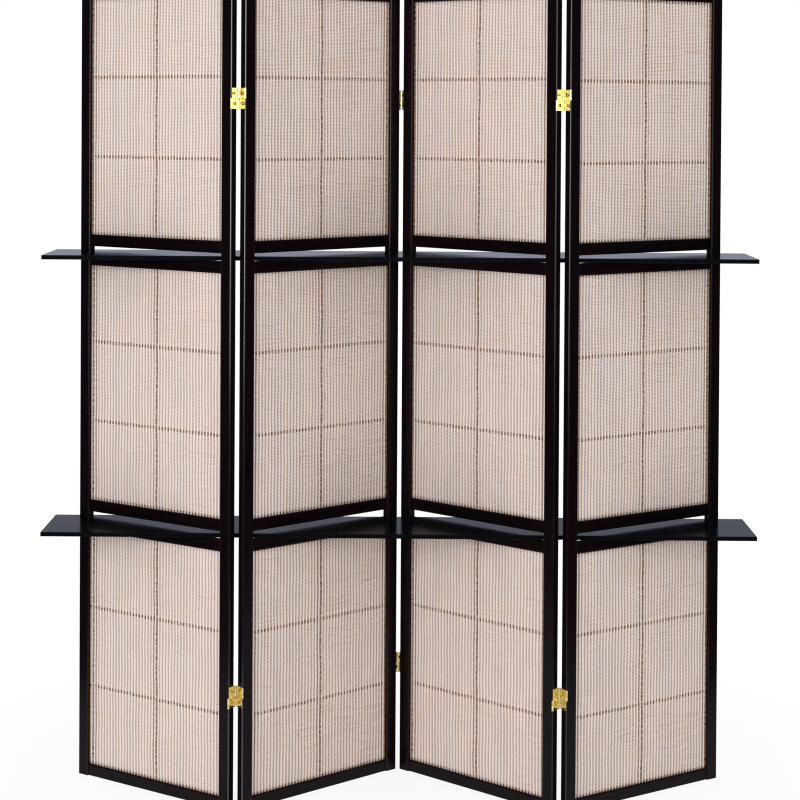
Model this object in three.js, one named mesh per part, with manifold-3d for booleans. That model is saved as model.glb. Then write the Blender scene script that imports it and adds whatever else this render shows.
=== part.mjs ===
// A four-panel folding screen with two loose shelf boards, standing in its zigzag.
// Units are millimetres, +Z is up and the side that faces the room is -Y.
// The origin is on the floor, under the middle of the whole object.

import * as THREE from 'three';
import { mergeVertices } from 'three/addons/utils/BufferGeometryUtils.js';
import Module from 'manifold-3d';

const wasm = await Module();
wasm.setup();

// The screen as a whole
const screen = {
  height: 1784,
  panelWidth: 432,
  panelGap: 4.2,
  outerPanelAngle: THREE.MathUtils.degToRad(33),
  innerPanelAngle: THREE.MathUtils.degToRad(40.2),
};

// Upright members
const stile = {
  face: 28,
  thickness: 19,
  cornerRadius: 3,
  endEase: 1,
};

// Cross members, a little thinner than the stiles
const rail = {
  height: 26.5,
  thickness: 13,
  cornerRadius: 2.5,
};

// Woven cloth, held in a groove all round each window
const cloth = {
  thickness: 5,
  grooveDepth: 6.5,
  tuck: 5.8,
};

// Shelf boards and the slots that they lie in
const shelf = {
  thickness: 9.5,
  overhang: 52,
  cornerRadius: 1.5,
  frontPlay: 2.4,
  backPlay: 1.2,
};
const slotHeight = 17;

// Two-way hinges: a leaf on each stile edge, and a strap that joins it to the far barrel
const hinge = {
  height: 45,
  insetFromTop: 249.5,
  insetFromFoot: 246,
  knucklesPerHalf: 3,
  sheet: 1,
  leafEdgeInset: 0.5,
  axisBeyondFace: 2.8,
  barrelRadius: 2.5,
  boreRadius: 1.5,
  pinRadius: 1.2,
  knuckleGap: 0.3,
  knuckleClearance: 0.4,
  screwHoleRadius: 2.1,
  countersinkRadius: 3.6,
  accessHoleRadius: 4.4,
};

// Gap between pieces that touch
const fitGap = 0.3;
// How far a cutting solid runs past what it cuts
const cutOverrun = 1;

// Facets on round shapes
const stileCornerSegments = 3;
const boardCornerSegments = 2;
const barrelSegments = 10;
const holeSegments = 8;

const windowCount = 3;
const railCount = 6;
const slotCount = 2;
const windowHeight = (screen.height - railCount * rail.height - slotCount * slotHeight) / windowCount;
const railLength = screen.panelWidth - 2 * stile.face - 2 * fitGap;
const grooveWidth = cloth.thickness + 2 * fitGap;

const materials = {
  lacqueredWood: { color: 0x1c1114, roughness: 0.42, metalness: 0 },
  lacqueredBoard: { color: 0x20222c, roughness: 0.3, metalness: 0 },
  wovenCloth: { color: 0xdccbbd, roughness: 0.95, metalness: 0 },
  brass: { color: 0xd9a637, roughness: 0.3, metalness: 1 },
  steel: { color: 0x9a968c, roughness: 0.35, metalness: 1 },
};

function toSolid(geometry) {
  const bare = geometry.clone();
  bare.deleteAttribute('normal');
  bare.deleteAttribute('uv');
  const merged = mergeVertices(bare);
  const mesh = new wasm.Mesh({
    numProp: 3,
    vertProperties: new Float32Array(merged.attributes.position.array),
    triVerts: new Uint32Array(merged.index.array),
  });
  return new wasm.Manifold(mesh);
}

function toGeometry(solid) {
  const mesh = solid.getMesh();
  const indexed = new THREE.BufferGeometry();
  indexed.setAttribute('position', new THREE.BufferAttribute(mesh.vertProperties, mesh.numProp));
  indexed.setIndex(new THREE.BufferAttribute(mesh.triVerts, 1));
  const faceted = indexed.toNonIndexed();
  faceted.computeVertexNormals();
  return faceted;
}

function namedMesh(name, solid, look) {
  const mesh = new THREE.Mesh(toGeometry(solid), new THREE.MeshStandardMaterial(materials[look]));
  mesh.name = name;
  return mesh;
}

// A box that spans from one corner to the other
function boxBetween(low, high) {
  const size = high.map((value, axis) => value - low[axis]);
  const middle = high.map((value, axis) => (value + low[axis]) / 2);
  return toSolid(new THREE.BoxGeometry(...size)).translate(middle);
}

function roundedRectangle(width, depth, radius) {
  const right = width / 2;
  const back = depth / 2;
  const quarter = Math.PI / 2;
  const outline = new THREE.Shape();
  outline.moveTo(right, radius - back);
  outline.absarc(right - radius, back - radius, radius, 0, quarter);
  outline.absarc(radius - right, back - radius, radius, quarter, 2 * quarter);
  outline.absarc(radius - right, radius - back, radius, 2 * quarter, 3 * quarter);
  outline.absarc(right - radius, radius - back, radius, 3 * quarter, 4 * quarter);
  return outline;
}

// A rounded bar along Z from z = 0, with its two ends eased
function roundedBar({ width, depth, length, radius, ease, segments }) {
  const geometry = new THREE.ExtrudeGeometry(roundedRectangle(width, depth, radius), {
    depth: length - 2 * ease,
    curveSegments: segments,
    bevelEnabled: ease > 0,
    bevelThickness: ease,
    bevelSize: ease,
    bevelOffset: -ease,
    bevelSegments: 1,
  });
  geometry.translate(0, 0, ease);
  return geometry;
}

// A panel's own frame: x along the panel from its left edge, y to its back, z up

// A stile has a groove along its inner edge for the cloth and the rails' tenons
function stileSolid(isLeft) {
  const middle = isLeft ? stile.face / 2 : screen.panelWidth - stile.face / 2;
  const innerEdge = isLeft ? stile.face : screen.panelWidth - stile.face;
  const inward = isLeft ? 1 : -1;
  const blank = toSolid(roundedBar({
    width: stile.face,
    depth: stile.thickness,
    length: screen.height,
    radius: stile.cornerRadius,
    ease: stile.endEase,
    segments: stileCornerSegments,
  })).translate([middle, 0, 0]);
  const grooveFloor = innerEdge - inward * cloth.grooveDepth;
  const grooveMouth = innerEdge + inward * cutOverrun;
  const groove = boxBetween(
    [Math.min(grooveFloor, grooveMouth), -grooveWidth / 2, -cutOverrun],
    [Math.max(grooveFloor, grooveMouth), grooveWidth / 2, screen.height + cutOverrun],
  );
  return blank.subtract(groove);
}

// A rail has a stub tenon at each end, and a groove in the edge that faces its window
function railSolid(bottom, clothIsAbove) {
  const left = stile.face + fitGap;
  const right = left + railLength;
  const top = bottom + rail.height;
  const beam = roundedBar({
    width: rail.height,
    depth: rail.thickness,
    length: railLength,
    radius: rail.cornerRadius,
    ease: 0,
    segments: boardCornerSegments,
  });
  beam.rotateY(Math.PI / 2);
  const body = toSolid(beam).translate([left, 0, bottom + rail.height / 2]);
  const tenonLow = clothIsAbove ? bottom + fitGap : bottom + cloth.grooveDepth + fitGap;
  const tenonHigh = clothIsAbove ? top - cloth.grooveDepth - fitGap : top - fitGap;
  const tenon = boxBetween(
    [left - cloth.tuck, -cloth.thickness / 2, tenonLow],
    [right + cloth.tuck, cloth.thickness / 2, tenonHigh],
  );
  const grooveLow = clothIsAbove ? top - cloth.grooveDepth : bottom - cutOverrun;
  const grooveHigh = clothIsAbove ? top + cutOverrun : bottom + cloth.grooveDepth;
  const groove = boxBetween(
    [left - cutOverrun, -grooveWidth / 2, grooveLow],
    [right + cutOverrun, grooveWidth / 2, grooveHigh],
  );
  return body.subtract(groove).add(tenon);
}

function clothSolid(bottom) {
  return boxBetween(
    [stile.face - cloth.tuck, -cloth.thickness / 2, bottom - cloth.tuck],
    [screen.panelWidth - stile.face + cloth.tuck, cloth.thickness / 2, bottom + windowHeight + cloth.tuck],
  );
}

// Heights of the rails and windows, from the floor up
function panelLevels() {
  const slotStep = 2 * rail.height + slotHeight;
  const lowerSlotRail = rail.height + windowHeight;
  const upperSlotRail = lowerSlotRail + slotStep + windowHeight;
  return {
    rails: {
      bottom_rail: { bottom: 0, clothIsAbove: true },
      lower_slot_lower_rail: { bottom: lowerSlotRail, clothIsAbove: false },
      lower_slot_upper_rail: { bottom: lowerSlotRail + rail.height + slotHeight, clothIsAbove: true },
      upper_slot_lower_rail: { bottom: upperSlotRail, clothIsAbove: false },
      upper_slot_upper_rail: { bottom: upperSlotRail + rail.height + slotHeight, clothIsAbove: true },
      top_rail: { bottom: screen.height - rail.height, clothIsAbove: false },
    },
    cloths: {
      bottom_cloth: rail.height,
      middle_cloth: lowerSlotRail + slotStep,
      top_cloth: upperSlotRail + slotStep,
    },
    shelves: {
      lower_shelf: lowerSlotRail + rail.height + fitGap,
      upper_shelf: upperSlotRail + rail.height + fitGap,
    },
  };
}

const levels = panelLevels();

function panelGroup(number) {
  const group = new THREE.Group();
  group.add(namedMesh(`panel_${number}_left_stile`, stileSolid(true), 'lacqueredWood'));
  group.add(namedMesh(`panel_${number}_right_stile`, stileSolid(false), 'lacqueredWood'));
  for (const [name, level] of Object.entries(levels.rails)) {
    const solid = railSolid(level.bottom, level.clothIsAbove);
    group.add(namedMesh(`panel_${number}_${name}`, solid, 'lacqueredWood'));
  }
  for (const [name, bottom] of Object.entries(levels.cloths)) {
    group.add(namedMesh(`panel_${number}_${name}`, clothSolid(bottom), 'wovenCloth'));
  }
  return group;
}

// The hinge's own frame: x across the gap from its middle, y to the back, z up from mid-height.
// Every half is this one piece, turned over: a leaf on the side of -x, its knuckle on the back
// axis above, and a strap below that folds against the leaf about the front axis.
const axisOffset = stile.thickness / 2 + hinge.axisBeyondFace;

// A barrel's half is three knuckles: the outer two are the strap's, the middle one is the leaf's
function knuckleZones() {
  const half = hinge.height / 2;
  const pitch = (half - hinge.knuckleGap / 2) / hinge.knucklesPerHalf;
  const ordered = Array.from({ length: hinge.knucklesPerHalf }, (_, index) => ({
    low: hinge.knuckleGap / 2 + index * pitch,
    high: (index + 1) * pitch - hinge.knuckleGap / 2,
  }));
  const [inner, middle, outer] = ordered;
  return { inner, middle, outer };
}

const zones = knuckleZones();
const below = (zone) => ({ low: -zone.high, high: -zone.low });

// A round bar on the front or the back axis
function axisBar({ y, radius, low, high }) {
  const geometry = new THREE.CylinderGeometry(radius, radius, high - low, barrelSegments);
  geometry.rotateX(Math.PI / 2);
  return toSolid(geometry).translate([0, y, (low + high) / 2]);
}

function knuckle(y, zone) {
  return axisBar({ y, radius: hinge.barrelRadius, ...zone });
}

function fullPin(y) {
  return axisBar({ y, radius: hinge.pinRadius, low: -hinge.height / 2, high: hinge.height / 2 });
}

function leafSolid() {
  const sheetLow = fitGap - screen.panelGap / 2;
  const sheetHigh = sheetLow + hinge.sheet;
  const edge = stile.thickness / 2 - hinge.leafEdgeInset;
  const half = hinge.height / 2;
  const plate = boxBetween([sheetLow, -edge, -half], [sheetHigh, edge, half]);
  const backCurl = boxBetween([sheetLow, 0, zones.middle.low], [sheetHigh, axisOffset, zones.middle.high]);
  const frontZone = below(zones.middle);
  const frontCurl = boxBetween([sheetLow, -axisOffset, frontZone.low], [sheetHigh, 0, frontZone.high]);
  const screwHoles = [-half / 2, half / 2].map((z) => {
    const hole = new THREE.CylinderGeometry(
      hinge.countersinkRadius,
      hinge.screwHoleRadius,
      hinge.sheet,
      holeSegments,
    );
    hole.rotateZ(-Math.PI / 2);
    const through = new THREE.CylinderGeometry(
      hinge.screwHoleRadius,
      hinge.screwHoleRadius,
      hinge.sheet + 2 * cutOverrun,
      holeSegments,
    );
    through.rotateZ(Math.PI / 2);
    const middle = [(sheetLow + sheetHigh) / 2, 0, z];
    return toSolid(hole).add(toSolid(through)).translate(middle);
  });
  const bare = wasm.Manifold.union([plate, backCurl, frontCurl]);
  return bare.subtract(wasm.Manifold.union(screwHoles));
}

function strapSolid() {
  const half = hinge.height / 2;
  const sheet = hinge.sheet / 2;
  const plate = boxBetween([-sheet, -axisOffset, -half], [sheet, axisOffset, -hinge.knuckleGap / 2]);
  const notchZone = below(zones.middle);
  const notchStart = axisOffset - hinge.barrelRadius - hinge.knuckleClearance;
  const notch = boxBetween(
    [-sheet - cutOverrun, notchStart, notchZone.low - hinge.knuckleGap],
    [sheet + cutOverrun, axisOffset + cutOverrun, notchZone.high + hinge.knuckleGap],
  );
  const access = new THREE.CylinderGeometry(
    hinge.accessHoleRadius,
    hinge.accessHoleRadius,
    hinge.sheet + 2 * cutOverrun,
    holeSegments,
  );
  access.rotateZ(Math.PI / 2);
  return plate.subtract(notch).subtract(toSolid(access).translate([0, 0, -half / 2]));
}

function hingeHalfSolid(carriesPin) {
  const half = hinge.height / 2;
  const strapZones = [below(zones.inner), below(zones.outer)];
  const working = [...strapZones, zones.middle].map((zone) => knuckle(axisOffset, zone));
  const resting = [...strapZones, below(zones.middle)].map((zone) => knuckle(-axisOffset, zone));
  const restingPin = axisBar({
    y: -axisOffset,
    radius: hinge.pinRadius,
    low: -half,
    high: -hinge.knuckleGap / 2,
  });
  const body = wasm.Manifold.union([leafSolid(), strapSolid(), restingPin, ...working, ...resting]);
  if (carriesPin) {
    return body.add(fullPin(axisOffset));
  }
  const bore = axisBar({
    y: axisOffset,
    radius: hinge.boreRadius,
    low: -half - cutOverrun,
    high: half + cutOverrun,
  });
  return body.subtract(bore);
}

const hingeHeights = {
  upper: screen.height - hinge.insetFromTop,
  lower: hinge.insetFromFoot,
};

// Hinge halves on one edge of a panel. At the middle of the screen they work about the front axis.
function addHingeHalves({ group, pair, isOnRightEdge, worksAtFront, carriesPin }) {
  const side = isOnRightEdge ? 'left' : 'right';
  const x = isOnRightEdge ? screen.panelWidth + screen.panelGap / 2 : -screen.panelGap / 2;
  for (const [level, z] of Object.entries(hingeHeights)) {
    const solid = hingeHalfSolid(carriesPin);
    const mesh = namedMesh(`hinge_${pair}_${level}_${side}_half`, solid, 'brass');
    mesh.rotation.set(worksAtFront ? Math.PI : 0, isOnRightEdge ? 0 : Math.PI, 0);
    mesh.position.set(x, 0, z);
    group.add(mesh);
  }
}

// Panels hang on one another: each group's origin is its hinge axis, as on the real screen
function hangPanel({ group, angle, edgeX, axisY }) {
  group.position.set(-edgeX, -axisY, 0);
  const turn = new THREE.Group();
  turn.add(group);
  turn.rotation.z = angle;
  return turn;
}

const nearEdge = -screen.panelGap / 2;
const farEdge = screen.panelWidth + screen.panelGap / 2;
const apexTurn = screen.outerPanelAngle + screen.innerPanelAngle;

function assemblePanels() {
  const panels = [1, 2, 3, 4].map(panelGroup);
  const [first, second, third, fourth] = panels;
  const hingedEdges = [
    { group: first, pair: '12', isOnRightEdge: true, worksAtFront: false, carriesPin: true },
    { group: second, pair: '12', isOnRightEdge: false, worksAtFront: false, carriesPin: false },
    { group: second, pair: '23', isOnRightEdge: true, worksAtFront: true, carriesPin: false },
    { group: third, pair: '23', isOnRightEdge: false, worksAtFront: true, carriesPin: false },
    { group: third, pair: '34', isOnRightEdge: true, worksAtFront: false, carriesPin: true },
    { group: fourth, pair: '34', isOnRightEdge: false, worksAtFront: false, carriesPin: false },
  ];
  hingedEdges.forEach((edge) => addHingeHalves(edge));

  const outerLeft = hangPanel({ group: first, angle: -apexTurn, edgeX: farEdge, axisY: axisOffset });
  outerLeft.position.set(nearEdge, axisOffset, 0);
  second.add(outerLeft);

  const outerRight = hangPanel({ group: fourth, angle: apexTurn, edgeX: nearEdge, axisY: axisOffset });
  outerRight.position.set(farEdge, axisOffset, 0);
  third.add(outerRight);

  const middle = new THREE.Group();
  const innerAngle = screen.innerPanelAngle;
  middle.add(hangPanel({ group: second, angle: innerAngle, edgeX: farEdge, axisY: -axisOffset }));
  middle.add(hangPanel({ group: third, angle: -innerAngle, edgeX: nearEdge, axisY: -axisOffset }));
  for (const [level, z] of Object.entries(hingeHeights)) {
    const pin = namedMesh(`hinge_23_${level}_pin`, fullPin(0), 'steel');
    pin.position.z = z;
    middle.add(pin);
  }
  return { middle, panels };
}

function boundsOf(object) {
  object.updateWorldMatrix(true, true);
  return new THREE.Box3().setFromObject(object, true);
}

// A shelf fills the space between the front stiles' back corners and the end stiles' front corners
function shelfSpace(panels) {
  const stileOf = (panel, side) => panels[panel].getObjectByName(`panel_${panel + 1}_${side}_stile`);
  const frontStiles = [stileOf(0, 'right'), stileOf(1, 'left'), stileOf(2, 'right'), stileOf(3, 'left')];
  const endStiles = [stileOf(0, 'left'), stileOf(3, 'right')];
  const front = Math.max(...frontStiles.map((object) => boundsOf(object).max.y)) + shelf.frontPlay;
  const back = Math.min(...endStiles.map((object) => boundsOf(object).min.y)) - shelf.backPlay;
  const reach = Math.max(...endStiles.map((object) => boundsOf(object).max.x)) + shelf.overhang;
  return { front, back, reach };
}

function shelfMesh(name, bottom, space) {
  const board = roundedBar({
    width: shelf.thickness,
    depth: space.back - space.front,
    length: 2 * space.reach,
    radius: shelf.cornerRadius,
    ease: shelf.cornerRadius / 2,
    segments: boardCornerSegments,
  });
  board.rotateY(Math.PI / 2);
  const mesh = namedMesh(name, toSolid(board), 'lacqueredBoard');
  mesh.position.set(-space.reach, (space.front + space.back) / 2, bottom + shelf.thickness / 2);
  return mesh;
}

function assembleScreen() {
  const { middle, panels } = assemblePanels();
  const space = shelfSpace(panels);
  for (const [name, bottom] of Object.entries(levels.shelves)) {
    middle.add(shelfMesh(name, bottom, space));
  }
  const bounds = boundsOf(middle);
  const centre = bounds.getCenter(new THREE.Vector3());
  middle.position.set(-centre.x, -centre.y, -bounds.min.z);
  const whole = new THREE.Group();
  whole.add(middle);
  whole.updateMatrixWorld(true);
  return whole;
}

export default assembleScreen();
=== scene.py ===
import math
import random

import bpy
import numpy as np
from mathutils import Matrix, Vector


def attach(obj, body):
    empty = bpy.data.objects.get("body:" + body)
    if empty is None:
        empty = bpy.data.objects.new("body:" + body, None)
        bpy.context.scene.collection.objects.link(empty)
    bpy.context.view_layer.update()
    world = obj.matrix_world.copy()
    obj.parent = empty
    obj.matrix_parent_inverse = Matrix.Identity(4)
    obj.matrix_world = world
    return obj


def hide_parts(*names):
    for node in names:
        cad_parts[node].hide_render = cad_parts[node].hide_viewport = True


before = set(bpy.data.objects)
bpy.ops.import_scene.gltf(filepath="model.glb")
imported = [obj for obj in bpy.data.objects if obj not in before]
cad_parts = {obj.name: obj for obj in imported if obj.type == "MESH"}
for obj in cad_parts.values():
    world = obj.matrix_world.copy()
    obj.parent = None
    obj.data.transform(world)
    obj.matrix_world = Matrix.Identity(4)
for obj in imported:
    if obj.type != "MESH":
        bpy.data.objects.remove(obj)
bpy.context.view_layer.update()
print("frame loaded:", len(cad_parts), "nodes")

panels = (1, 2, 3, 4)
levels = ("bottom", "middle", "top")


# the camera, as the photograph was taken
camera = {
    "place": (0.01256, -4.25202, 1.50201),
    "right": (0.99997567, 0.00356924, 0.00599376),
    "down": (0.00603993, -0.01306836, -0.99989636),
    "lens": 86.338,
    "sensor": 36.0,
    "shiftY": -0.325545,
    "nearest": 0.05,
    "farthest": 100,
}


def placeCamera():
    data = bpy.data.cameras.new("camera")
    data.sensor_width = camera["sensor"]
    data.lens = camera["lens"]
    data.shift_y = camera["shiftY"]
    data.clip_start = camera["nearest"]
    data.clip_end = camera["farthest"]
    view = bpy.data.objects.new("camera", data)
    bpy.context.scene.collection.objects.link(view)
    right = Vector(camera["right"]).normalized()
    up = -Vector(camera["down"]).normalized()
    back = right.cross(up)
    turned = Matrix((right, up, back)).transposed().to_4x4()
    view.matrix_world = Matrix.Translation(camera["place"]) @ turned
    bpy.context.scene.camera = view


placeCamera()
print("camera placed")


# helpers for node trees
def addNode(tree, kind, **values):
    # each new node takes the next place in rows of twelve
    row, column = divmod(len(tree.nodes), 12)
    node = tree.nodes.new(kind)
    node.location = (column * 200, -row * 300)
    for name, value in values.items():
        setattr(node, name, value)
    return node


def join(tree, start, end):
    tree.links.new(start, end)


def feed(tree, socket, value):
    # the value is a number, a colour or vector, or another node's output
    if isinstance(value, (int, float)):
        socket.default_value = value
    elif isinstance(value, tuple):
        socket.default_value = (*value, 1) if len(socket.default_value) == 4 else value
    elif value is not None:
        join(tree, value, socket)


def sums(tree, operation, *values):
    node = addNode(tree, "ShaderNodeMath", operation=operation)
    for socket, value in zip(node.inputs, values):
        feed(tree, socket, value)
    return node.outputs[0]


def mixColours(tree, share, first, second):
    node = addNode(tree, "ShaderNodeMix", data_type="RGBA", blend_type="MIX")
    for index, value in ((0, share), (6, first), (7, second)):
        feed(tree, node.inputs[index], value)
    return node.outputs[2]


def spread(tree, value, low, high, toLow=0.0, toHigh=1.0):
    # from one value where the input is low to another where it is high; the settings give
    # these limits in pairs, or in fours with the two values
    node = addNode(tree, "ShaderNodeMapRange", clamp=True)
    join(tree, value, node.inputs[0])
    for index, limit in enumerate((low, high, toLow, toHigh), start=1):
        node.inputs[index].default_value = limit
    return node.outputs[0]


def noiseAt(tree, vector, scale, detail):
    node = addNode(tree, "ShaderNodeTexNoise")
    for name, value in (("Vector", vector), ("Scale", scale), ("Detail", detail)):
        feed(tree, node.inputs[name], value)
    return node.outputs[0]


def partsOf(tree, vector):
    node = addNode(tree, "ShaderNodeSeparateXYZ")
    join(tree, vector, node.inputs[0])
    return node.outputs


def vectorOf(tree, *parts):
    node = addNode(tree, "ShaderNodeCombineXYZ")
    for socket, value in zip(node.inputs, parts):
        feed(tree, socket, value)
    return node.outputs[0]


def placed(tree, name="Object"):
    return addNode(tree, "ShaderNodeTexCoord").outputs[name]


def mapped(tree, vector, kind="POINT", **values):
    node = addNode(tree, "ShaderNodeMapping", vector_type=kind)
    join(tree, vector, node.inputs["Vector"])
    for name, value in values.items():
        node.inputs[name].default_value = value
    return node.outputs[0]


def newMaterial(name):
    material = bpy.data.materials.new(name)
    material.use_nodes = True
    tree = material.node_tree
    shader = tree.nodes["Principled BSDF"]
    return material, tree, shader


def newGroup(name, inputs, outputs):
    group = bpy.data.node_groups.new(name, "ShaderNodeTree")
    for title, kind, value in inputs:
        socket = group.interface.new_socket(title, in_out="INPUT", socket_type=kind)
        if value is not None:
            socket.default_value = value
    for title, kind in outputs:
        group.interface.new_socket(title, in_out="OUTPUT", socket_type=kind)
    start = addNode(group, "NodeGroupInput")
    end = addNode(group, "NodeGroupOutput")
    return group, start, end


def useGroup(tree, group, **values):
    node = addNode(tree, "ShaderNodeGroup")
    node.node_tree = group
    for name, value in values.items():
        feed(tree, node.inputs[name], value)
    return node


# worn edges, shared by every rigid finish; on the lacquers the edge colour is partly a painted
# highlight
edgeWearAndHighlightFacts = {
    "bevelSamples": 4,
    "turnedAway": (0.004, 0.12),
    "patchDetail": 4,
    "patches": (0.35, 0.7),
}


def edgeWearAndHighlightGroup():
    # how far a rounded edge turns away from the flat face beside it, broken up by noise
    group, start, end = newGroup(
        "edgeWearAndHighlight",
        [
            ("Radius", "NodeSocketFloat", 0.004),
            ("Patchiness", "NodeSocketFloat", 0.5),
            ("Scale", "NodeSocketFloat", 40.0),
        ],
        [("Edge", "NodeSocketFloat"), ("Normal", "NodeSocketVector")],
    )
    patchiness = start.outputs["Patchiness"]
    bevel = addNode(group, "ShaderNodeBevel", samples=edgeWearAndHighlightFacts["bevelSamples"])
    join(group, start.outputs["Radius"], bevel.inputs["Radius"])
    geometry = addNode(group, "ShaderNodeNewGeometry")
    across = addNode(group, "ShaderNodeVectorMath", operation="DOT_PRODUCT")
    join(group, bevel.outputs[0], across.inputs[0])
    join(group, geometry.outputs["True Normal"], across.inputs[1])
    away = sums(group, "SUBTRACT", 1.0, across.outputs["Value"])
    turned = spread(group, away, *edgeWearAndHighlightFacts["turnedAway"])
    noise = noiseAt(group, placed(group), start.outputs["Scale"], edgeWearAndHighlightFacts["patchDetail"])
    patches = spread(group, noise, *edgeWearAndHighlightFacts["patches"])
    broken = sums(group, "MULTIPLY", patches, patchiness)
    kept = sums(group, "SUBTRACT", 1.0, patchiness)
    edge = sums(group, "MULTIPLY", turned, sums(group, "ADD", broken, kept))
    join(group, edge, end.inputs["Edge"])
    join(group, bevel.outputs[0], end.inputs["Normal"])
    return group


# the wood's grain, shared by the frames and the boards
grainFacts = {
    "streakScale": 160,
    "streakDetail": 5,
    "streaks": (0.35, 0.68),
    "streakHeight": 0.4,
    "poreScale": 1400,
    "poreDetail": 2,
    "pores": (0.56, 0.72),
    "poreDepth": 0.6,
}


def grainGroup():
    # long fine pores of a close-grained wood under a thin lacquer, along the vector's X
    group, start, end = newGroup(
        "grain",
        [("Vector", "NodeSocketVector", None), ("Stretch", "NodeSocketFloat", 0.05)],
        [
            ("Streaks", "NodeSocketFloat"),
            ("Pores", "NodeSocketFloat"),
            ("Height", "NodeSocketFloat"),
        ],
    )
    x, y, z = partsOf(group, start.outputs["Vector"])
    along = sums(group, "MULTIPLY", x, start.outputs["Stretch"])
    packed = vectorOf(group, along, y, z)
    wide = noiseAt(group, packed, grainFacts["streakScale"], grainFacts["streakDetail"])
    fine = noiseAt(group, packed, grainFacts["poreScale"], grainFacts["poreDetail"])
    streaks = spread(group, wide, *grainFacts["streaks"])
    pores = spread(group, fine, *grainFacts["pores"])
    height = sums(
        group, "SUBTRACT",
        sums(group, "MULTIPLY", streaks, grainFacts["streakHeight"]),
        sums(group, "MULTIPLY", pores, grainFacts["poreDepth"]),
    )
    for name, value in (("Streaks", streaks), ("Pores", pores), ("Height", height)):
        join(group, value, end.inputs[name])
    return group


edgeWearAndHighlight = edgeWearAndHighlightGroup()
grain = grainGroup()


def addWearAndHighlight(tree, colour, finish):
    # the colour with its edges rubbed, on the lacquers partly painted as a highlight, and the
    # normal of the rounded edges
    edgeMarks = useGroup(
        tree, edgeWearAndHighlight,
        Radius=finish["edgeRadius"], Patchiness=finish["wearAndHighlightPatches"], Scale=finish["wearAndHighlightScale"],
    )
    share = sums(tree, "MULTIPLY", edgeMarks.outputs["Edge"], finish["wearAndHighlightShare"])
    return mixColours(tree, share, colour, finish["edgeColour"]), edgeMarks.outputs["Normal"]


def addRelief(tree, shader, height, finish, normal=None):
    bump = addNode(tree, "ShaderNodeBump")
    bump.inputs["Strength"].default_value = finish["reliefStrength"]
    bump.inputs["Distance"].default_value = finish["reliefDepth"]
    join(tree, height, bump.inputs["Height"])
    if normal is not None:
        join(tree, normal, bump.inputs["Normal"])
    join(tree, bump.outputs[0], shader.inputs["Normal"])


# the lacquered frame: near-black brown, redder on the rounded edges, partly rubbed thin and partly
# a painted highlight
frameLacquer = {
    "colour": (0.0030, 0.0017, 0.0026),
    "streakColour": (0.0058, 0.0026, 0.0034),
    "grainStretch": 0.045,
    "reliefStrength": 0.25,
    "reliefDepth": 0.00012,
    "roughness": 0.24,
    "porousRoughness": 0.34,
    "specular": 0.09,
    # redder rounded edges: partly rubbed lacquer, partly a painted highlight
    "edgeColour": (0.0300, 0.0070, 0.0050),
    "edgeRadius": 0.0032,
    "wearAndHighlightPatches": 0.6,
    "wearAndHighlightScale": 9.0,
    "wearAndHighlightShare": 0.8,
    "beadRoughness": 0.15,
    "beadIndex": 1.75,
    "beadNormals": (0.90, 0.985),
    "sideNormals": (-0.2, 0.2),
    "innerBead": 0.2,
}
# how much the corners shine on each panel
beadShare = {1: 1.0, 2: 1.0, 3: 0.3, 4: 0.45}


def cornerBead(tree, turn, outward, share):
    # 1 on the rounded outer corners of an upright, less on the inner ones, 0 on its four faces
    normal = mapped(tree, placed(tree, "Normal"), "VECTOR", Rotation=(0, 0, -turn))
    parts = partsOf(tree, normal)
    x, y, z = (sums(tree, "ABSOLUTE", part) for part in parts)
    flat = sums(tree, "MAXIMUM", sums(tree, "MAXIMUM", x, y), z)
    corner = spread(tree, flat, *frameLacquer["beadNormals"], 1.0, 0.0)
    facing = sums(tree, "MULTIPLY", parts[0], outward)
    inner = frameLacquer["innerBead"] * share
    side = spread(tree, facing, *frameLacquer["sideNormals"], inner, share)
    return sums(tree, "MULTIPLY", corner, side)


def lacquerMaterial(name, turn, panelTurn=None, outward=1.0, share=1.0):
    material, tree, shader = newMaterial(name)
    along = mapped(tree, placed(tree), Rotation=turn)
    wood = useGroup(tree, grain, Vector=along, Stretch=frameLacquer["grainStretch"])
    toned = mixColours(
        tree, wood.outputs["Streaks"], frameLacquer["colour"], frameLacquer["streakColour"]
    )
    # rounded edges turn redder: rubbed lacquer and a painted highlight
    rubbedAndHighlit, rounded = addWearAndHighlight(tree, toned, frameLacquer)
    join(tree, rubbedAndHighlit, shader.inputs["Base Color"])
    rough = spread(
        tree, wood.outputs["Pores"], 0.0, 1.0,
        frameLacquer["roughness"], frameLacquer["porousRoughness"],
    )
    join(tree, rough, shader.inputs["Roughness"])
    shader.inputs["Specular IOR Level"].default_value = frameLacquer["specular"]
    if panelTurn is not None:
        bead = cornerBead(tree, panelTurn, outward, share)
        join(tree, bead, shader.inputs["Coat Weight"])
        shader.inputs["Coat Roughness"].default_value = frameLacquer["beadRoughness"]
        shader.inputs["Coat IOR"].default_value = frameLacquer["beadIndex"]
    addRelief(tree, shader, wood.outputs["Height"], frameLacquer, rounded)
    return material


# the shelf boards: blue-black and glossier
shelfLacquer = {
    "colour": (0.0030, 0.0034, 0.0050),
    "grainStretch": 0.03,
    "reliefStrength": 0.12,
    "reliefDepth": 0.0001,
    "roughness": 0.13,
    "dustyRoughness": 0.19,
    "dustScale": 7,
    "dustDetail": 5,
    "dust": (0.35, 0.7),
    "specular": 0.012,
    # pale grey rounded edges: a painted highlight where the front edge catches light, with some
    # wear
    "edgeColour": (0.0200, 0.0180, 0.0190),
    "edgeRadius": 0.0018,
    "wearAndHighlightPatches": 0.4,
    "wearAndHighlightScale": 14.0,
    "wearAndHighlightShare": 0.7,
}


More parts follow.
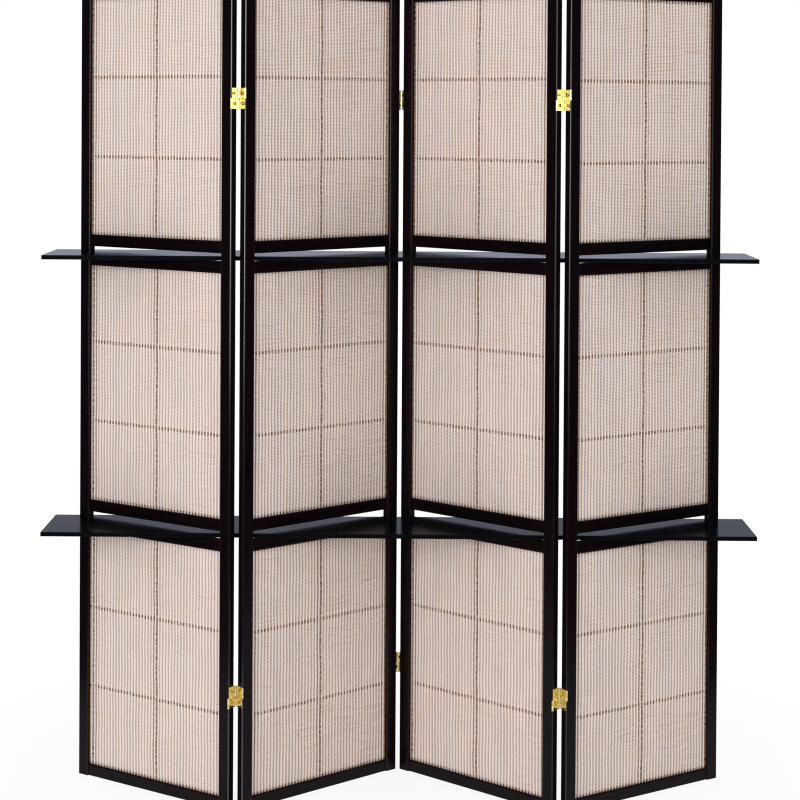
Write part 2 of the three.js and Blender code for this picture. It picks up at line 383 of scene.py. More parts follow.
def shelfMaterial():
    material, tree, shader = newMaterial("shelfLacquer")
    place = placed(tree)
    wood = useGroup(tree, grain, Vector=place, Stretch=shelfLacquer["grainStretch"])
    # the rounded edges turn pale grey: a painted highlight, with some wear
    rubbedAndHighlit, rounded = addWearAndHighlight(tree, shelfLacquer["colour"], shelfLacquer)
    join(tree, rubbedAndHighlit, shader.inputs["Base Color"])
    dust = noiseAt(tree, place, shelfLacquer["dustScale"], shelfLacquer["dustDetail"])
    rough = spread(
        tree, dust, *shelfLacquer["dust"],
        shelfLacquer["roughness"], shelfLacquer["dustyRoughness"],
    )
    join(tree, rough, shader.inputs["Roughness"])
    shader.inputs["Specular IOR Level"].default_value = shelfLacquer["specular"]
    addRelief(tree, shader, wood.outputs["Height"], shelfLacquer, rounded)
    return material


# brass hinges
brassFinish = {
    "colour": (0.92, 0.78, 0.34),
    "tarnish": (0.52, 0.38, 0.11),
    "tarnishScale": 180,
    "tarnishDetail": 6,
    "tarnishSpread": (0.45, 0.75),
    "tarnishShare": 0.8,
    "roughness": 0.16,
    "dullRoughness": 0.30,
    "dullSpread": (0.35, 0.75),
    "reliefStrength": 0.10,
    "reliefDepth": 0.00004,
    "edgeColour": (1.0, 0.92, 0.62),
    "edgeRadius": 0.0006,
    "wearAndHighlightPatches": 0.3,
    "wearAndHighlightScale": 200.0,
    "wearAndHighlightShare": 0.5,
}
# the screws are darker, and polished
screwFinish = {
    **brassFinish,
    "colour": (0.70, 0.52, 0.20),
    "tarnish": (0.28, 0.16, 0.05),
    "edgeColour": (1.0, 0.90, 0.60),
    "roughness": 0.09,
    "dullRoughness": 0.20,
}


def brassMaterial(name, finish):
    material, tree, shader = newMaterial(name)
    patchy = noiseAt(tree, placed(tree), finish["tarnishScale"], finish["tarnishDetail"])
    dull = spread(tree, patchy, *finish["tarnishSpread"])
    share = sums(tree, "MULTIPLY", dull, finish["tarnishShare"])
    coloured = mixColours(tree, share, finish["colour"], finish["tarnish"])
    rubbedAndHighlit, rounded = addWearAndHighlight(tree, coloured, finish)
    join(tree, rubbedAndHighlit, shader.inputs["Base Color"])
    shader.inputs["Metallic"].default_value = 1
    rough = spread(
        tree, patchy, *finish["dullSpread"], finish["roughness"], finish["dullRoughness"]
    )
    join(tree, rough, shader.inputs["Roughness"])
    addRelief(tree, shader, patchy, finish, rounded)
    return material


# the hinges' steel pins, drawn lengthwise
steelFinish = {
    "colour": (0.42, 0.39, 0.33),
    "brightColour": (0.60, 0.57, 0.50),
    "scale": (900, 900, 40),
    "detail": 2,
    "roughness": (0.3, 0.7, 0.24, 0.38),
    "edgeRadius": 0.0004,
}


def steelMaterial():
    material, tree, shader = newMaterial("steel")
    along = mapped(tree, placed(tree), Scale=steelFinish["scale"])
    drawn = noiseAt(tree, along, 1, steelFinish["detail"])
    toned = mixColours(tree, drawn, steelFinish["colour"], steelFinish["brightColour"])
    join(tree, toned, shader.inputs["Base Color"])
    shader.inputs["Metallic"].default_value = 1
    join(tree, spread(tree, drawn, *steelFinish["roughness"]), shader.inputs["Roughness"])
    edgeMarks = useGroup(tree, edgeWearAndHighlight, Radius=steelFinish["edgeRadius"])
    join(tree, edgeMarks.outputs["Normal"], shader.inputs["Normal"])
    return material


# the cloth: cream cords side by side, fine cross threads between them, brown check lines
cloth = {
    "pitch": 0.0085,
    "cordsPerCheck": 22,
    "checkHeight": 0.1784,
    "cordHalf": 0.00150,
    "webHalf": 0.00050,
    "cordShare": 0.62,
    "cordRound": 0.8,
    "columnsPerCord": 8,
    "leastColumn": 1e-4,
    "rowHeight": 0.018,
    "tuck": 0.0058,
    "heldRim": 0.03,
    "forward": 0.0011,
    "sway": 0.00055,
    "belly": 0.0005,
    "bellyShare": (0.6, 0.4),
    "swell": 0.05,
    "liftPlay": 0.0012,
    "specular": 0.25,
    "sheen": 0.05,
    "reliefStrength": 0.5,
    "reliefDepth": 0.0003,
}
# how its shape waves: the wave along the height, and the shift from cord to cord
clothWaves = {
    "sway": (31, 0.21),
    "ripple": (73, -0.33),
    "rippleShare": 0.6,
    "rippleShift": 2.1,
    "belly": 11,
    "swell": (190, 2.4),
}
# named as the weave group's inputs
clothTones = {
    "Cord": (0.870, 0.745, 0.675),
    "Cord cool": (0.760, 0.705, 0.715),
    "Cord warm": (0.860, 0.650, 0.500),
    "Web": (0.640, 0.510, 0.450),
    "Web cool": (0.560, 0.465, 0.430),
    "Pick": (0.250, 0.165, 0.125),
    "Thread": (0.080, 0.042, 0.023),
    "Thread light": (0.390, 0.215, 0.105),
    "Slub": (0.340, 0.200, 0.115),
    # beside each stile: fine threads with painted shade from the stile
    "Shaded selvedge": (0.360, 0.215, 0.095),
}
# where the strong brown thread runs in each window, in metres from its left edge
strongThread = {
    1: {"bottom": 0.1965, "middle": 0.1935, "top": 0.1895},
    2: {"bottom": 0.1885, "middle": 0.1875, "top": 0.1840},
    3: {"bottom": 0.1915, "middle": 0.1882, "top": 0.1885},
    4: {"bottom": 0.1880, "middle": 0.1851, "top": 0.1858},
}
# how far the check lines stand above the window's lower edge, in metres
checkLift = {
    1: {"bottom": 0.0010, "middle": 0.0027, "top": -0.0021},
    2: {"bottom": -0.0036, "middle": 0.0010, "top": -0.0025},
    3: {"bottom": -0.0016, "middle": -0.0009, "top": -0.0044},
    4: {"bottom": -0.0039, "middle": -0.0028, "top": -0.0067},
}
# panels 2 and 4 are woven a little more unevenly
unevenness = {1: 0.0, 2: 1.0, 3: 0.25, 4: 0.75}

# the weave's noises: scale across per cord, scale up per metre, detail, and a shift that only
# keeps any two from being alike
weaveNoises = {
    "fray": (1.7, 420.0, 3.0, 3.0),
    "slowTone": (0.33, 9.0, 3.0, 11.0),
    "warmTone": (0.28, 22.0, 4.0, 5.0),
    "pickWander": (0.2, 14.0, 2.0, 13.0),
    "pickPatches": (0.45, 420.0, 2.0, 7.0),
    "slubWave": (0.35, 8.0, 2.0, 17.0),
    "slubs": (0.085, 330.0, 1.5, 21.0),
    "slubRegion": (0.06, 6.0, 1.0, 27.0),
    "shadedSelvedgeBeads": (0.0, 300.0, 2.0, 23.0),
    "strong": (0.0, 150.0, 2.0, 31.0),
    "thinOuter": (0.0, 150.0, 2.0, 37.0),
    "thinMiddle": (0.0, 150.0, 2.0, 39.0),
    "thinMiddleFade": (0.0, 2.6, 1.0, 61.0),
    "dashWander": (0.25, 3.0, 1.0, 43.0),
    "dashPatches": (1.0, 60.0, 2.0, 47.0),
    "knots": (0.55, 300.0, 1.0, 53.0),
    "threadTones": (0.9, 240.0, 2.0, 59.0),
    "fibres": (14.0, 1500.0, 2.0, 0.0),
    "roughness": (2.0, 200.0, 2.0, 0.0),
}
# the check threads: half their width in cords, and how much of them shows where they are worn
checkThreads = {
    "strong": (0.36, 0.45),
    "thinOuter": (0.20, 0.55),
    "thinMiddle": (0.22, 0.4),
}
# the weave's pattern: heights in metres, shares, and where each effect begins and is full
weaveFacts = {
    "cordEdge": (0.34, 0.70),
    "fray": 0.30,
    "ownTone": 0.5,
    "coolTone": (0.60, 0.98),
    "coolShare": 0.9,
    "warmTone": (0.53, 0.70),
    "warmShare": 0.55,
    "pickPitch": 0.0031,
    "pickWander": 0.004,
    "pickEdge": (0.15, 0.80),
    "pickPatches": (0.25, 0.62, 0.35, 1.0),
    "pickOnWeb": (0.20, 0.66),
    "pickOnCord": 0.15,
    "slubWave": 0.010,
    "slubRegion": (0.42, 0.62, -0.06, 0.05),
    "slubUneven": 0.03,
    "slubs": (0.61, 0.72),
    "slubOffCord": 0.70,
    "slubStrength": (0.18, 0.42),
    "shadedSelvedgeEnd": (0.0075, 0.0095),
    "shadedSelvedgeBeads": (0.38, 0.58, 0.25, 0.85),
    "threadEdge": (0.7, 1.15),
    "threadPatches": (0.40, 0.58),
    "thinOuterShare": 0.85,
    "thinMiddleFade": (0.38, 0.62, 0.20, 0.85),
    "companionTop": (0.565, 0.575, 0.85, 0.0),
    "dashWander": 0.0020,
    "dashHalf": (0.0032, 0.0043),
    "lowestDash": (0.0036, 0.0064, 0.9, 0.0),
    "dashGap": (0.40, 0.72),
    "dashPatches": (0.32, 0.5, 0.62, 1.0),
    "knots": (0.775, 0.80),
    "threadTones": (0.42, 0.66),
    "pickRelief": 0.35,
    "fibreRelief": 0.5,
    "markRelief": 0.6,
    "roughness": (0.3, 0.7, 0.74, 0.92),
}


def weaveGroup():
    # Across is measured in cords and Up in metres, both on the piece's own map
    facts = weaveFacts
    group, start, end = newGroup(
        "weave",
        [
            ("Across", "NodeSocketFloat", 0.0),
            ("Up", "NodeSocketFloat", 0.0),
            ("Edge", "NodeSocketFloat", 0.1),
            ("Above rail", "NodeSocketFloat", 0.1),
            ("Uneven", "NodeSocketFloat", 0.0),
            ("Companion", "NodeSocketFloat", 0.0),
            ("Cords per check", "NodeSocketFloat", float(cloth["cordsPerCheck"])),
            ("Check height", "NodeSocketFloat", cloth["checkHeight"]),
        ]
        + [(title, "NodeSocketColor", (*tone, 1)) for title, tone in clothTones.items()],
        [
            ("Color", "NodeSocketColor"),
            ("Height", "NodeSocketFloat"),
            ("Roughness", "NodeSocketFloat"),
        ],
    )
    given = start.outputs
    across, up, uneven = given["Across"], given["Up"], given["Uneven"]

    def times(first, second):
        return sums(group, "MULTIPLY", first, second)

    def plus(first, second):
        return sums(group, "ADD", first, second)

    def timesPlus(first, second, third):
        return sums(group, "MULTIPLY_ADD", first, second, third)

    def minus(first, second):
        return sums(group, "SUBTRACT", first, second)

    def larger(first, second):
        return sums(group, "MAXIMUM", first, second)

    def absolute(value):
        return sums(group, "ABSOLUTE", value)

    def between(value, *limits):
        return spread(group, value, *limits)

    def mix(share, first, second):
        return mixColours(group, share, first, second)

    def noise(name, height=up):
        acrossScale, upScale, detail, shift = weaveNoises[name]
        spot = vectorOf(group, times(across, acrossScale), times(height, upScale), shift)
        return noiseAt(group, spot, 1, detail)

    def patches(name):
        return between(noise(name), *facts[name])

    # 0 in the middle of a web, 1 in the middle of a cord
    phase = times(across, 2 * math.pi)
    swell = timesPlus(sums(group, "COSINE", phase), -0.5, 0.5)
    frayed = timesPlus(noise("fray"), facts["fray"], -facts["fray"] / 2)
    cordMask = between(plus(swell, frayed), *facts["cordEdge"])

    # every cord has its own tone, and changes slowly along its length
    dice = addNode(group, "ShaderNodeTexWhiteNoise", noise_dimensions="3D")
    join(group, vectorOf(group, sums(group, "FLOOR", across)), dice.inputs["Vector"])
    own = dice.outputs["Value"]
    cool = plus(times(own, facts["ownTone"]), noise("slowTone"))
    cool = between(cool, *facts["coolTone"])
    toned = mix(times(cool, facts["coolShare"]), given["Cord"], given["Cord cool"])
    toned = mix(times(patches("warmTone"), facts["warmShare"]), toned, given["Cord warm"])

    # fine cross threads, darker in the webs than on the cords
    rise = timesPlus(noise("pickWander"), facts["pickWander"], up)
    turns = times(rise, 2 * math.pi / facts["pickPitch"])
    picks = between(timesPlus(sums(group, "SINE", turns), 0.5, 0.5), *facts["pickEdge"])
    shade = times(picks, patches("pickPatches"))
    web = mix(own, given["Web"], given["Web cool"])
    web = mix(times(shade, timesPlus(uneven, *facts["pickOnWeb"])), web, given["Pick"])
    cords = mix(times(shade, facts["pickOnCord"]), toned, given["Pick"])
    base = mix(cordMask, web, cords)

    # brown cross threads here and there, a cord or ten long, wavy
    wave = timesPlus(noise("slubWave"), facts["slubWave"], up)
    eager = timesPlus(uneven, facts["slubUneven"], patches("slubRegion"))
    brown = between(plus(eager, noise("slubs", wave)), *facts["slubs"])
    webOnly = minus(1.0, times(cordMask, facts["slubOffCord"]))
    strength = timesPlus(uneven, *facts["slubStrength"])
    base = mix(times(times(brown, webOnly), strength), base, given["Slub"])

    # a golden brown strip beside each stile: fine threads, darkened with painted shade from the
    # stile
    border = between(given["Edge"], *facts["shadedSelvedgeEnd"], 1.0, 0.0)
    base = mix(times(border, patches("shadedSelvedgeBeads")), base, given["Shaded selvedge"])

    # check lines up the cloth: a strong thread in one web, and a thinner one in the web beside it
    def thread(name, distance):
        halfWidth, least = checkThreads[name]
        inside, outside = (halfWidth * share for share in facts["threadEdge"])
        line = between(distance, inside, outside, 1.0, 0.0)
        return times(line, between(noise(name), *facts["threadPatches"], least, 1.0))

    # the thin one keeps to the inner side of the outer lines and is weak beside the middle one
    apart = absolute(across)
    fromOuter = minus(given["Cords per check"], apart)
    upright = thread("strong", sums(group, "MINIMUM", apart, absolute(fromOuter)))
    thinOuter = thread("thinOuter", absolute(minus(fromOuter, 1.0)))
    upright = larger(upright, times(thinOuter, facts["thinOuterShare"]))
    thinMiddle = thread("thinMiddle", absolute(plus(across, 1.0)))
    shown = larger(patches("thinMiddleFade"), given["Companion"])
    upright = larger(upright, times(thinMiddle, shown))

    # check lines across the cloth: short brown dashes in the webs
    row = sums(group, "PINGPONG", up, times(given["Check height"], 0.5))
    most = facts["dashWander"]
    wander = timesPlus(noise("dashWander"), most, -most / 2)
    level = between(plus(row, wander), *facts["dashHalf"], 1.0, 0.0)
    lowest = between(plus(given["Above rail"], wander), *facts["lowestDash"])
    gap = between(swell, *facts["dashGap"], 1.0, 0.0)
    dashes = times(times(larger(level, lowest), gap), patches("dashPatches"))

    # a few short dark knots
    marks = larger(larger(upright, dashes), times(patches("knots"), gap))
    threads = mix(patches("threadTones"), given["Thread"], given["Thread light"])
    join(group, mix(marks, base, threads), end.inputs["Color"])

    fibres = times(noise("fibres"), facts["fibreRelief"])
    relief = timesPlus(picks, facts["pickRelief"], fibres)
    join(group, plus(relief, times(marks, facts["markRelief"])), end.inputs["Height"])
    join(group, patches("roughness"), end.inputs["Roughness"])
    return group


def clothMaterial(name, weave, uneven):
    material, tree, shader = newMaterial(name)
    onWeave = partsOf(tree, addNode(tree, "ShaderNodeUVMap", uv_map="weave").outputs[0])
    onEdge = partsOf(tree, addNode(tree, "ShaderNodeUVMap", uv_map="edge").outputs[0])
    height = partsOf(tree, placed(tree))[2]
    woven = useGroup(
        tree,
        weave,
        **{
            "Across": onWeave[0],
            "Up": onWeave[1],
            "Edge": onEdge[0],
            "Above rail": onEdge[1],
            "Uneven": uneven,
            "Companion": spread(tree, height, *weaveFacts["companionTop"]),
        },
    )
    join(tree, woven.outputs["Color"], shader.inputs["Base Color"])
    join(tree, woven.outputs["Roughness"], shader.inputs["Roughness"])
    shader.inputs["Specular IOR Level"].default_value = cloth["specular"]
    shader.inputs["Sheen Weight"].default_value = cloth["sheen"]
    addRelief(tree, shader, woven.outputs["Height"], cloth)
    return material


def windowFrame(node):
    # where the plain solid stands: its left end, the way along it, the way towards the viewer,
    # its width, foot and head
    points = np.array([v.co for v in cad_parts[node].data.vertices], float)
    flat = np.unique(points[:, :2].round(6), axis=0)
    flat = flat[np.argsort(flat[:, 0])]
    left, right = flat[:2].mean(0), flat[-2:].mean(0)
    width = float(np.linalg.norm(right - left))
    along = (right - left) / width
    out = np.array([along[1], -along[0]])
    return {
        "left": left,
        "along": along,
        "out": out,
        "width": width,
        "foot": float(points[:, 2].min()),
        "head": float(points[:, 2].max()),
    }


def clothColumns(firstCord, width):
    # where the columns stand, in cords counted from the strong thread
    pitch, steps = cloth["pitch"], cloth["columnsPerCord"]
    low = math.ceil(-firstCord * steps)
    high = math.floor((width / pitch - firstCord) * steps)
    counts = [low / steps + i / steps for i in range(high - low + 1)]
    inner = [c for c in counts if c * pitch + firstCord * pitch > cloth["leastColumn"]]
    return [-firstCord] + inner + [width / pitch - firstCord]


def clothFaces(wide, rows):
    # the front, the back, and the strips that close them at the foot, head, left and right
    sheetSize = wide * (rows + 1)
    faces = []
    for row in range(rows):
        for column in range(wide - 1):
            a = row * wide + column
            faces.append((a, a + 1, a + 1 + wide, a + wide))
            b = a + sheetSize
            faces.append((b, b + wide, b + wide + 1, b + 1))
    for column in range(wide - 1):
        faces.append((column, column + sheetSize, column + sheetSize + 1, column + 1))
        top = rows * wide + column
        faces.append((top, top + 1, top + 1 + sheetSize, top + sheetSize))
    for row in range(rows):
        a = row * wide
        faces.append((a, a + wide, a + wide + sheetSize, a + sheetSize))
        b = a + wide - 1
        faces.append((b, b + sheetSize, b + wide + sheetSize, b + wide))
    return faces


def clothSheet(panel, level, material, dice):
    node = f"panel_{panel}_{level}_cloth"
    window = windowFrame(node)
    left, along, out = window["left"], window["along"], window["out"]
    width, foot, tall = window["width"], window["foot"], window["head"] - window["foot"]
    pitch, tuck = cloth["pitch"], cloth["tuck"]
    phase = dice.uniform(0, 2 * math.pi)
    lift = checkLift[panel][level] + dice.uniform(-cloth["liftPlay"], cloth["liftPlay"])
    firstCord = (tuck + strongThread[panel][level]) / pitch
    counts = clothColumns(firstCord, width)
    rows = max(2, round(tall / cloth["rowHeight"]))

    def halfThickness(count, z):
        swell = 0.5 - 0.5 * math.cos(2 * math.pi * count)
        rounded = math.sin(math.pi / 2 * min(1.0, swell / cloth["cordShare"]))
        bulge = (cloth["cordHalf"] - cloth["webHalf"]) * rounded ** cloth["cordRound"]
        wave, shift = clothWaves["swell"]
        uneven = cloth["swell"] * math.sin(z * wave + count * shift + phase)
        return (cloth["webHalf"] + bulge) * (1 + uneven)

    def spot(count, up, side):
        s = (count + firstCord) * pitch
        z = foot + up
        rim = cloth["heldRim"]
        edge = min(1.0, min(s, width - s) / rim, min(up, tall - up) / rim)
        wave, shift = clothWaves["sway"]
        drift = math.sin(z * wave + phase + count * shift)
        wave, shift = clothWaves["ripple"]
        ripple = math.sin(z * wave + clothWaves["rippleShift"] * phase + count * shift)
        drift = cloth["sway"] * edge * (drift + clothWaves["rippleShare"] * ripple)
        middle = math.sin(math.pi * s / width) * math.sin(math.pi * up / tall)
        steady, moving = cloth["bellyShare"]
        blown = steady + moving * math.sin(z * clothWaves["belly"] + phase)
        depth = cloth["forward"] * edge + cloth["belly"] * middle * blown
        x, y = left + along * (s + drift) + out * (depth + side * halfThickness(count, z))
        return (float(x), float(y), z)

    vertices, maps, sides = [], [], []
    for side in (1, -1):
        for row in range(rows + 1):
            up = tall * row / rows
            for count in counts:
                vertices.append(spot(count, up, side))
                maps.append((count, up - tuck - lift))
                s = (count + firstCord) * pitch
                sides.append((min(s, width - s), up - tuck))

    name = f"panel_{panel}_{level}_weave"
    mesh = bpy.data.meshes.new(name)
    mesh.from_pydata(vertices, [], clothFaces(len(counts), rows))
    corners = np.zeros(len(mesh.loops), np.int32)
    mesh.loops.foreach_get("vertex_index", corners)
    for title, places in (("weave", maps), ("edge", sides)):
        own = mesh.uv_layers.new(name=title)
        own.data.foreach_set("uv", np.array(places, np.float32)[corners].ravel())
    mesh.polygons.foreach_set("use_smooth", [True] * len(mesh.polygons))
    mesh.materials.append(material)
    sheet = bpy.data.objects.new(name, mesh)
    bpy.context.scene.collection.objects.link(sheet)
    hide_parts(node)
    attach(sheet, f"panel_{panel}")
    return sheet


# hinge screws: countersunk heads with a cross recess
screw = {
    "headRadius": 0.00325,
    "neckRadius": 0.0019,
    "headDepth": 0.0011,
    "corners": 24,
    "dome": 0.00058,
    "domeInsets": (0.30, 0.36),
    "shankLength": 0.011,
    "tipRadius": 0.0009,
    "slotWidth": 0.0010,
    "slotLength": 0.0040,
    "slotDepth": 0.0009,
    "slotTaper": (0.35, 0.6, 1),
    "levelNormal": 0.9,
    "edgeRound": 0.00006,
    "sharpEdge": 40,
    "smoothEdge": 35,
}


def deselectAll():
    if bpy.context.object and bpy.context.object.mode != "OBJECT":
        bpy.ops.object.mode_set(mode="OBJECT")
    bpy.ops.object.select_all(action="DESELECT")


def selectFaces(thing, test):
    bpy.ops.mesh.select_mode(type="FACE")
    bpy.ops.mesh.select_all(action="DESELECT")
    bpy.ops.object.mode_set(mode="OBJECT")
    for face in thing.data.polygons:
        face.select = test(face)
    bpy.ops.object.mode_set(mode="EDIT")


def facesUp(face):
    return face.normal.z > screw["levelNormal"]


def facesDown(face):
    return face.normal.z < -screw["levelNormal"]


def applyModifier(thing, kind, **values):
    deselectAll()
    thing.select_set(True)
    bpy.context.view_layer.objects.active = thing
    modifier = thing.modifiers.new(kind.lower(), kind)
    for name, value in values.items():
        setattr(modifier, name, value)
    bpy.ops.object.modifier_apply(modifier=modifier.name)


def modelScrewHead():
    # made head up at the origin, with the head's rim at z = 0
    deselectAll()
    bpy.ops.mesh.primitive_cone_add(
        vertices=screw["corners"],
        radius1=screw["neckRadius"],
        radius2=screw["headRadius"],
        depth=screw["headDepth"],
        location=(0, 0, -screw["headDepth"] / 2),
    )
    head = bpy.context.object
    head.name = "screwModel"
    bpy.ops.object.transform_apply(location=True, rotation=True, scale=True)
    bpy.ops.object.mode_set(mode="EDIT")
    selectFaces(head, facesUp)
    for share in screw["domeInsets"]:
        bpy.ops.mesh.inset(thickness=screw["headRadius"] * share)
        bpy.ops.transform.translate(value=(0, 0, screw["dome"] / 2))
    selectFaces(head, facesDown)
    shank = {"value": (0, 0, -screw["shankLength"])}
    bpy.ops.mesh.extrude_region_move(TRANSFORM_OT_translate=shank)
    narrow = screw["tipRadius"] / screw["neckRadius"]
    bpy.ops.transform.resize(value=(narrow, narrow, 1))
    bpy.ops.object.mode_set(mode="OBJECT")
    return head


def modelScrewCutters():
    # two tapered bars that cross
    deselectAll()
    bpy.ops.mesh.primitive_cube_add(size=1, location=(0, 0, 0))
    cutter = bpy.context.object
    cutter.scale = (screw["slotLength"], screw["slotWidth"], screw["slotDepth"] * 2)
    bpy.ops.object.transform_apply(location=True, rotation=True, scale=True)
    bpy.ops.object.mode_set(mode="EDIT")
    selectFaces(cutter, facesDown)
    tip = (0, 0, -screw["slotDepth"])
    bpy.ops.transform.resize(value=screw["slotTaper"], center_override=tip)
    bpy.ops.object.mode_set(mode="OBJECT")
    crossed = bpy.data.objects.new("screwCutter", cutter.data.copy())
    crossed.data.transform(Matrix.Rotation(math.pi / 2, 4, "Z"))
    bpy.context.scene.collection.objects.link(crossed)
    return cutter, crossed


def modelScrew(material):
    head = modelScrewHead()
    for tool in modelScrewCutters():
        applyModifier(head, "BOOLEAN", operation="DIFFERENCE", object=tool, solver="EXACT")
        bpy.data.objects.remove(tool)
    applyModifier(
        head, "BEVEL", width=screw["edgeRound"], segments=2,
        limit_method="ANGLE", angle_limit=math.radians(screw["sharpEdge"]),
    )
    deselectAll()
    head.select_set(True)
    bpy.context.view_layer.objects.active = head
    bpy.ops.object.shade_smooth_by_angle(angle=math.radians(screw["smoothEdge"]))
    head.data.materials.clear()
    head.data.materials.append(material)
    return head


# where the hinges and their screws stand, and how far a leaf's face is from the panel's edge
hingeFacts = {
    "heights": {"lower": 0.246, "upper": 1.5345},
    "screwRises": {"low": -0.01125, "high": 0.01125},
    "leafFace": 0.0013,
    "panelWidth": 0.432,
}


def panelFrame(panel):
    # the panel's left edge and the way along it
    window = windowFrame(f"panel_{panel}_bottom_cloth")
    edgeToCloth = (hingeFacts["panelWidth"] - window["width"]) / 2
    return window["left"] - window["along"] * edgeToCloth, window["along"]


def hingeEdges(panel):
    # the hinge, the half's side, how far along the panel its leaf's face lies, and which way
    edges = []
    if panel > panels[0]:
        edges.append((f"{panel - 1}{panel}", "right", -hingeFacts["leafFace"], -1))
    if panel < panels[-1]:
        reach = hingeFacts["panelWidth"] + hingeFacts["leafFace"]
        edges.append((f"{panel}{panel + 1}", "left", reach, 1))
    return edges


def placeScrew(name, panel, model, place, outward, spin):
    turn = Vector(outward).to_track_quat("Z", "Y").to_matrix().to_4x4()
    spun = Matrix.Rotation(spin, 4, "Z")
    mesh = model.data.copy()
    mesh.transform(Matrix.Translation(place) @ turn @ spun)
    piece = bpy.data.objects.new(name, mesh)
    bpy.context.scene.collection.objects.link(piece)
    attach(piece, f"panel_{panel}")


def placeScrews(material, dice):
    model = modelScrew(material)
    made = 0
    for panel in panels:
        start, along = panelFrame(panel)
        for pair, side, distance, way in hingeEdges(panel):
            x, y = start + along * distance
            outward = (along[0] * way, along[1] * way, 0)
            for level, height in hingeFacts["heights"].items():
                for end, rise in hingeFacts["screwRises"].items():
                    name = f"hinge_{pair}_{level}_{side}_screw_{end}"
                    spin = dice.uniform(0, math.pi / 2)
                    placeScrew(name, panel, model, (x, y, height + rise), outward, spin)
                    made += 1
    bpy.data.objects.remove(model)
    return made


# finishes go onto the CAD nodes
def turnOf(panel):
    along = panelFrame(panel)[1]
    return math.atan2(along[1], along[0])


panelTurns = {panel: turnOf(panel) for panel in panels}
standing = (0, math.pi / 2, 0)
stileLacquer = {
    (panel, side): lacquerMaterial(
        f"frameLacquer{side.title()}{panel}", standing, turn, outward, beadShare[panel]
    )
    for panel, turn in panelTurns.items()
    for side, outward in (("left", -1.0), ("right", 1.0))
}
railLacquer = {
    panel: lacquerMaterial(f"frameLacquerAcross{panel}", (0, 0, -turn))
    for panel, turn in panelTurns.items()
}
shelfFinish = shelfMaterial()
brassFace = brassMaterial("brass", brassFinish)
screwFace = brassMaterial("screwBrass", screwFinish)
steelFace = steelMaterial()


def finishFor(name):
    words = name.split("_")
    if name.endswith("_stile"):
        return stileLacquer[int(words[1]), words[2]]
    if name.endswith("_rail"):
        return railLacquer[int(words[1])]
    if name.endswith("_shelf"):
        return shelfFinish
    if name.endswith("_pin"):
        return steelFace
    return brassFace


for name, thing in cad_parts.items():
    if name.endswith("_cloth"):
        continue
    thing.data.materials.clear()
    thing.data.materials.append(finishFor(name))
print("finishes on the CAD nodes")


dice = random.Random(7)
weave = weaveGroup()
clothFinish = {
    panel: clothMaterial(f"wovenCloth{panel}", weave, share) for panel, share in unevenness.items()
}
sheets = [
    clothSheet(panel, level, clothFinish[panel], dice) for panel in panels for level in levels
]
print("cloth made:", len(sheets), "sheets")
print("screws made:", placeScrews(screwFace, dice))


# stage: pale floor, soft lamps, white surroundings
stage = {
    "floorColour": (0.90, 0.90, 0.90),
    "floorRoughness": 0.9,
    "floorSpecular": 0.1,
    "floorWidth": 2.7,
    "floorDepth": 30.0,
    "floorFront": -1.0,
    "floorGlow": (0.55, 1.25, 0.88, 1.0),
    "skyLevel": 0.60,
    "reflectedBack": (0.0, 0.4, 0.05, 1.0),
    "reflectedLow": (0.06, 0.18, 0.66, 1.0),
    "reflectedTone": (0.87, 0.93, 1.12),
    "pixelFilter": 1.1,
    "lamps": [
        # name, place, aimed at, width, height, watts
        ("keyLeft", (-2.5, -3.7, 1.45), (0, 0, 0.9), 1.3, 2.2, 53),
        ("keyRight", (2.5, -3.7, 1.45), (0, 0, 0.9), 1.3, 2.2, 20),
        ("front", (-0.2, -5.2, 1.75), (-0.2, 0, 1.75), 3.4, 1.7, 74),
    ],
}


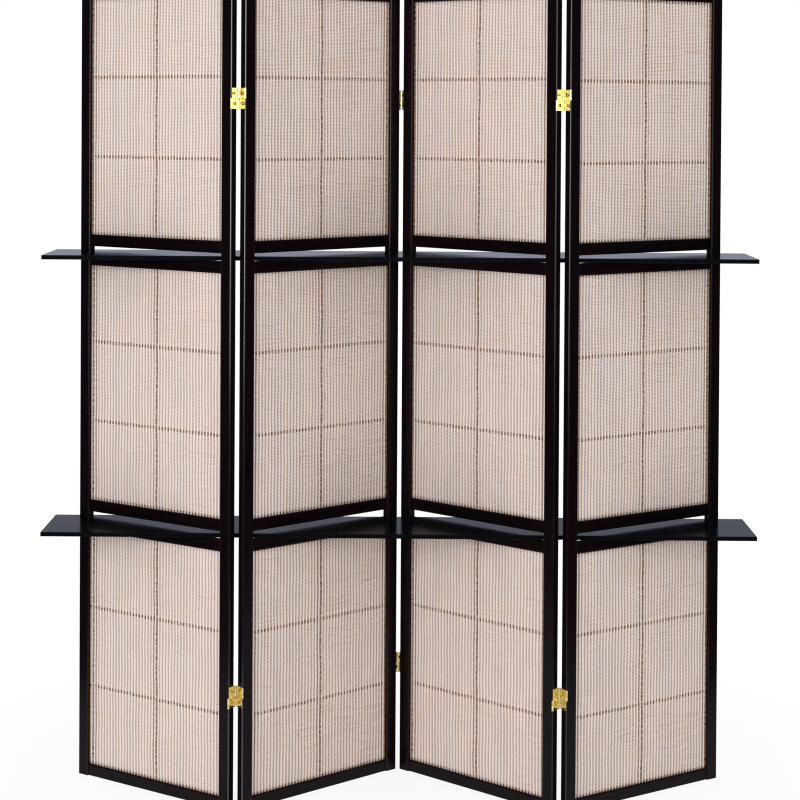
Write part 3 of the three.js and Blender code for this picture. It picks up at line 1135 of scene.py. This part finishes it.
def makeFloor():
    deselectAll()
    middle = (0, stage["floorFront"] + stage["floorDepth"] / 2, 0)
    bpy.ops.mesh.primitive_plane_add(size=1, location=middle)
    floor = bpy.context.object
    floor.name = "floor"
    floor.scale = (stage["floorWidth"], stage["floorDepth"], 1)
    bpy.ops.object.transform_apply(location=True, rotation=True, scale=True)
    material, tree, shader = newMaterial("floor")
    shader.inputs["Base Color"].default_value = (*stage["floorColour"], 1)
    shader.inputs["Roughness"].default_value = stage["floorRoughness"]
    shader.inputs["Specular IOR Level"].default_value = stage["floorSpecular"]
    glow = addNode(tree, "ShaderNodeEmission")
    glow.inputs["Color"].default_value = (1, 1, 1, 1)
    glow.inputs["Strength"].default_value = 1
    path = addNode(tree, "ShaderNodeLightPath").outputs
    seen = sums(tree, "MAXIMUM", path["Is Glossy Ray"], path["Is Transmission Ray"])
    seen = sums(tree, "MAXIMUM", path["Is Camera Ray"], seen)
    # the shadow shows round the feet, and the floor is plain white further off
    reach = addNode(tree, "ShaderNodeVectorMath", operation="LENGTH")
    join(tree, placed(tree), reach.inputs[0])
    share = spread(tree, reach.outputs["Value"], *stage["floorGlow"])
    mix = addNode(tree, "ShaderNodeMixShader")
    join(tree, sums(tree, "MULTIPLY", seen, share), mix.inputs[0])
    join(tree, shader.outputs[0], mix.inputs[1])
    join(tree, glow.outputs[0], mix.inputs[2])
    join(tree, mix.outputs[0], tree.nodes["Material Output"].inputs["Surface"])
    floor.data.materials.append(material)


def makeWorld():
    world = bpy.data.worlds.new("surroundings")
    bpy.context.scene.world = world
    world.use_nodes = True
    world.cycles.sampling_method = "NONE"
    tree = world.node_tree
    tree.nodes.clear()
    out = addNode(tree, "ShaderNodeOutputWorld")
    path = addNode(tree, "ShaderNodeLightPath").outputs
    x, y, z = partsOf(tree, placed(tree, "Generated"))
    # glossy faces see a dark room on the camera's side, and behind the screen a pale, cool wall
    # that is dimmer near the floor
    back = spread(tree, y, *stage["reflectedBack"])
    back = sums(tree, "MULTIPLY", back, spread(tree, z, *stage["reflectedLow"]))
    more = sums(tree, "SUBTRACT", back, stage["skyLevel"])
    level = sums(tree, "MULTIPLY", path["Is Glossy Ray"], more)
    level = sums(tree, "ADD", level, stage["skyLevel"])
    white = sums(tree, "MAXIMUM", path["Is Camera Ray"], path["Is Transmission Ray"])
    level = sums(tree, "MAXIMUM", level, white)
    tone = mixColours(tree, path["Is Glossy Ray"], (1, 1, 1), stage["reflectedTone"])
    light = addNode(tree, "ShaderNodeBackground")
    join(tree, tone, light.inputs["Color"])
    join(tree, level, light.inputs["Strength"])
    join(tree, light.outputs[0], out.inputs["Surface"])


def makeLamps():
    for name, place, target, width, height, watts in stage["lamps"]:
        data = bpy.data.lights.new(name, "AREA")
        data.shape = "RECTANGLE"
        data.size, data.size_y = width, height
        data.energy = watts
        lamp = bpy.data.objects.new(name, data)
        bpy.context.scene.collection.objects.link(lamp)
        lamp.location = place
        aim = Vector(target) - Vector(place)
        lamp.rotation_euler = aim.to_track_quat("-Z", "Y").to_euler()


makeFloor()
makeWorld()
makeLamps()
bpy.context.scene.view_settings.view_transform = "Standard"
bpy.context.scene.cycles.filter_width = stage["pixelFilter"]
print("stage made")
